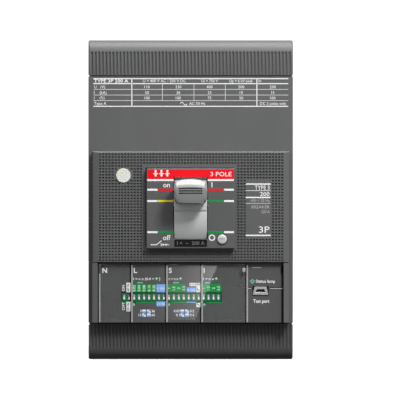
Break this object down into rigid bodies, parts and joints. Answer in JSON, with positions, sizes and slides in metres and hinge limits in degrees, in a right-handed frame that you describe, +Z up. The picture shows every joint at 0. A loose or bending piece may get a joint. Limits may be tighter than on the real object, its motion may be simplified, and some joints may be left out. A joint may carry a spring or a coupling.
{
  "type": "molded case circuit breaker",
  "caption": "Three-pole molded case breaker with a toggle, a dimpled front panel, an electronic trip unit behind a clear flap and ribbed terminal covers.",
  "frame": {"origin": "middle of the flat rear face that lies against the mounting plate", "axes": "+X to the right and +Z up as the breaker is seen from the front, +Y into the mounting plate; the toggle points along -Y"},
  "size_m": [0.105, 0.0983, 0.164],
  "materials": {
    "base_plastic": "dark grey molded thermoset, fine grain",
    "case_plastic": "grey molded thermoset, satin, fine grain",
    "panel_plastic": "grey molded plastic with rows of small dimples",
    "escutcheon_plastic": "grey molded plastic with printed bands",
    "trip_unit_plastic": "dark grey satin plastic with printed scales",
    "toggle_plastic": "light grey satin plastic",
    "button_plastic": "light grey smooth plastic",
    "clear_plastic": "clear glossy plastic",
    "switch_body_plastic": "dark green satin plastic",
    "switch_knob_plastic": "white satin plastic",
    "connector_metal": "plated, satin",
    "seal_paper": "printed cream sticker with a dark edge",
    "zinc_steel": "zinc plated",
    "spring_steel": "oiled spring wire",
    "arc_plate_steel": "plain steel",
    "copper": "copper, satin",
    "black_plastic": "black molded thermoset",
    "core_tape": "wound and taped core",
    "board_laminate": "green circuit board",
    "coil_tape": "taped copper winding"
  },
  "bodies": {
    "case": {"base": "base_plastic", "main_cover": "case_plastic", "front_panel": "panel_plastic", "escutcheon": "escutcheon_plastic", "upper_terminal_cover": "case_plastic", "lower_terminal_cover": "case_plastic", "trip_unit_case": "trip_unit_plastic", "dip_switch_block": "switch_body_plastic", "test_connector": "connector_metal", "warranty_seal": "seal_paper", "panel_screw": "zinc_steel", "line_terminal_1": "copper", "line_terminal_2": "copper", "line_terminal_3": "copper", "load_terminal_1": "copper", "load_terminal_2": "copper", "load_terminal_3": "copper", "arc_chute_1": "arc_plate_steel", "arc_chute_2": "arc_plate_steel", "arc_chute_3": "arc_plate_steel", "current_transformer_1": "core_tape", "current_transformer_2": "core_tape", "current_transformer_3": "core_tape", "mechanism_frame": "zinc_steel", "trip_circuit_board": "board_laminate", "trip_coil": "coil_tape"},
    "toggle": {"toggle_handle": "toggle_plastic", "handle_arm": "zinc_steel", "main_spring": "spring_steel"},
    "contacts": {"contact_shaft": "black_plastic", "moving_contact_1": "copper", "moving_contact_2": "copper", "moving_contact_3": "copper"},
    "lower_link": {"lower_link": "zinc_steel"},
    "upper_link": {"upper_link": "zinc_steel"},
    "cradle": {"cradle": "zinc_steel"},
    "trip_bar": {"trip_bar": "black_plastic"},
    "plunger": {"trip_plunger": "zinc_steel"},
    "button": {"test_button": "button_plastic"},
    "flap": {"flap_window": "clear_plastic"},
    "switch_01": {"switch_01": "switch_knob_plastic"},
    "switch_02": {"switch_02": "switch_knob_plastic"},
    "switch_03": {"switch_03": "switch_knob_plastic"},
    "switch_04": {"switch_04": "switch_knob_plastic"},
    "switch_05": {"switch_05": "switch_knob_plastic"},
    "switch_06": {"switch_06": "switch_knob_plastic"},
    "switch_07": {"switch_07": "switch_knob_plastic"},
    "switch_08": {"switch_08": "switch_knob_plastic"},
    "switch_09": {"switch_09": "switch_knob_plastic"},
    "switch_10": {"switch_10": "switch_knob_plastic"},
    "switch_11": {"switch_11": "switch_knob_plastic"},
    "switch_12": {"switch_12": "switch_knob_plastic"},
    "switch_13": {"switch_13": "switch_knob_plastic"},
    "switch_14": {"switch_14": "switch_knob_plastic"},
    "switch_15": {"switch_15": "switch_knob_plastic"},
    "switch_16": {"switch_16": "switch_knob_plastic"},
    "switch_17": {"switch_17": "switch_knob_plastic"},
    "switch_18": {"switch_18": "switch_knob_plastic"},
    "switch_19": {"switch_19": "switch_knob_plastic"},
    "switch_20": {"switch_20": "switch_knob_plastic"}
  },
  "joints": [
    {"name": "handle_swing", "type": "hinge", "parent": "case", "child": "toggle", "pos_m": [0, -0.0585, -0.0058], "axis": [1, 0, 0], "range_deg": [0, 31.6], "deforming": ["main_spring"]},
    {"name": "contact_turn", "type": "hinge", "parent": "case", "child": "contacts", "pos_m": [0, -0.03, -0.006], "axis": [1, 0, 0], "range_deg": [0, 29]},
    {"name": "lower_link_turn", "type": "hinge", "parent": "contacts", "child": "lower_link", "pos_m": [0, -0.0335, 0.0065], "axis": [-1, 0, 0], "range_deg": [0, 66]},
    {"name": "cradle_release", "type": "hinge", "parent": "case", "child": "cradle", "pos_m": [0, -0.052, 0.018], "axis": [-1, 0, 0], "range_deg": [0, 12]},
    {"name": "upper_link_turn", "type": "hinge", "parent": "cradle", "child": "upper_link", "pos_m": [0, -0.0565, 0.008], "axis": [1, 0, 0], "range_deg": [0, 14]},
    {"name": "button_push", "type": "slide", "parent": "case", "child": "button", "axis": [0, 1, 0], "range_m": [0, 0.0015], "stiffness_N_per_m": 300},
    {"name": "trip_bar_turn", "type": "hinge", "parent": "case", "child": "trip_bar", "pos_m": [0, -0.056, -0.0263], "axis": [-1, 0, 0], "range_deg": [0, 14.5]},
    {"name": "plunger_slide", "type": "slide", "parent": "case", "child": "plunger", "axis": [0, 0, 1], "range_m": [0, 0.003], "stiffness_N_per_m": 30},
    {"name": "flap_hinge", "type": "hinge", "parent": "case", "child": "flap", "pos_m": [0, -0.078, -0.0336], "axis": [-1, 0, 0], "range_deg": [0, 95]},
    {"name": "switch_01_slide", "type": "slide", "parent": "case", "child": "switch_01", "axis": [0, 0, 1], "range_m": [0, 0.0016]},
    {"name": "switch_02_slide", "type": "slide", "parent": "case", "child": "switch_02", "axis": [0, 0, 1], "range_m": [0, 0.0016]},
    {"name": "switch_03_slide", "type": "slide", "parent": "case", "child": "switch_03", "axis": [0, 0, 1], "range_m": [0, 0.0016]},
    {"name": "switch_04_slide", "type": "slide", "parent": "case", "child": "switch_04", "axis": [0, 0, 1], "range_m": [0, 0.0016]},
    {"name": "switch_05_slide", "type": "slide", "parent": "case", "child": "switch_05", "axis": [0, 0, 1], "range_m": [0, 0.0016]},
    {"name": "switch_06_slide", "type": "slide", "parent": "case", "child": "switch_06", "axis": [0, 0, 1], "range_m": [0, 0.0016]},
    {"name": "switch_07_slide", "type": "slide", "parent": "case", "child": "switch_07", "axis": [0, 0, 1], "range_m": [0, 0.0016]},
    {"name": "switch_08_slide", "type": "slide", "parent": "case", "child": "switch_08", "axis": [0, 0, 1], "range_m": [0, 0.0016]},
    {"name": "switch_09_slide", "type": "slide", "parent": "case", "child": "switch_09", "axis": [0, 0, 1], "range_m": [0, 0.0016]},
    {"name": "switch_10_slide", "type": "slide", "parent": "case", "child": "switch_10", "axis": [0, 0, 1], "range_m": [0, 0.0016]},
    {"name": "switch_11_slide", "type": "slide", "parent": "case", "child": "switch_11", "axis": [0, 0, 1], "range_m": [0, 0.0016]},
    {"name": "switch_12_slide", "type": "slide", "parent": "case", "child": "switch_12", "axis": [0, 0, 1], "range_m": [0, 0.0016]},
    {"name": "switch_13_slide", "type": "slide", "parent": "case", "child": "switch_13", "axis": [0, 0, 1], "range_m": [0, 0.0016]},
    {"name": "switch_14_slide", "type": "slide", "parent": "case", "child": "switch_14", "axis": [0, 0, 1], "range_m": [0, 0.0016]},
    {"name": "switch_15_slide", "type": "slide", "parent": "case", "child": "switch_15", "axis": [0, 0, 1], "range_m": [0, 0.0016]},
    {"name": "switch_16_slide", "type": "slide", "parent": "case", "child": "switch_16", "axis": [0, 0, 1], "range_m": [0, 0.0016]},
    {"name": "switch_17_slide", "type": "slide", "parent": "case", "child": "switch_17", "axis": [0, 0, 1], "range_m": [0, 0.0016]},
    {"name": "switch_18_slide", "type": "slide", "parent": "case", "child": "switch_18", "axis": [0, 0, 1], "range_m": [0, 0.0016]},
    {"name": "switch_19_slide", "type": "slide", "parent": "case", "child": "switch_19", "axis": [0, 0, 1], "range_m": [0, 0.0016]},
    {"name": "switch_20_slide", "type": "slide", "parent": "case", "child": "switch_20", "axis": [0, 0, 1], "range_m": [0, 0.0016]}
  ],
  "couplings": [
    {"joint": "contact_turn", "follows": "handle_swing", "ratio": 0.9},
    {"joint": "lower_link_turn", "follows": "handle_swing", "ratio": 2.044},
    {"joint": "upper_link_turn", "follows": "handle_swing", "ratio": 0.4323},
    {"joint": "trip_bar_turn", "follows": "button_push", "rad_per_m": 166.67}
  ]
}
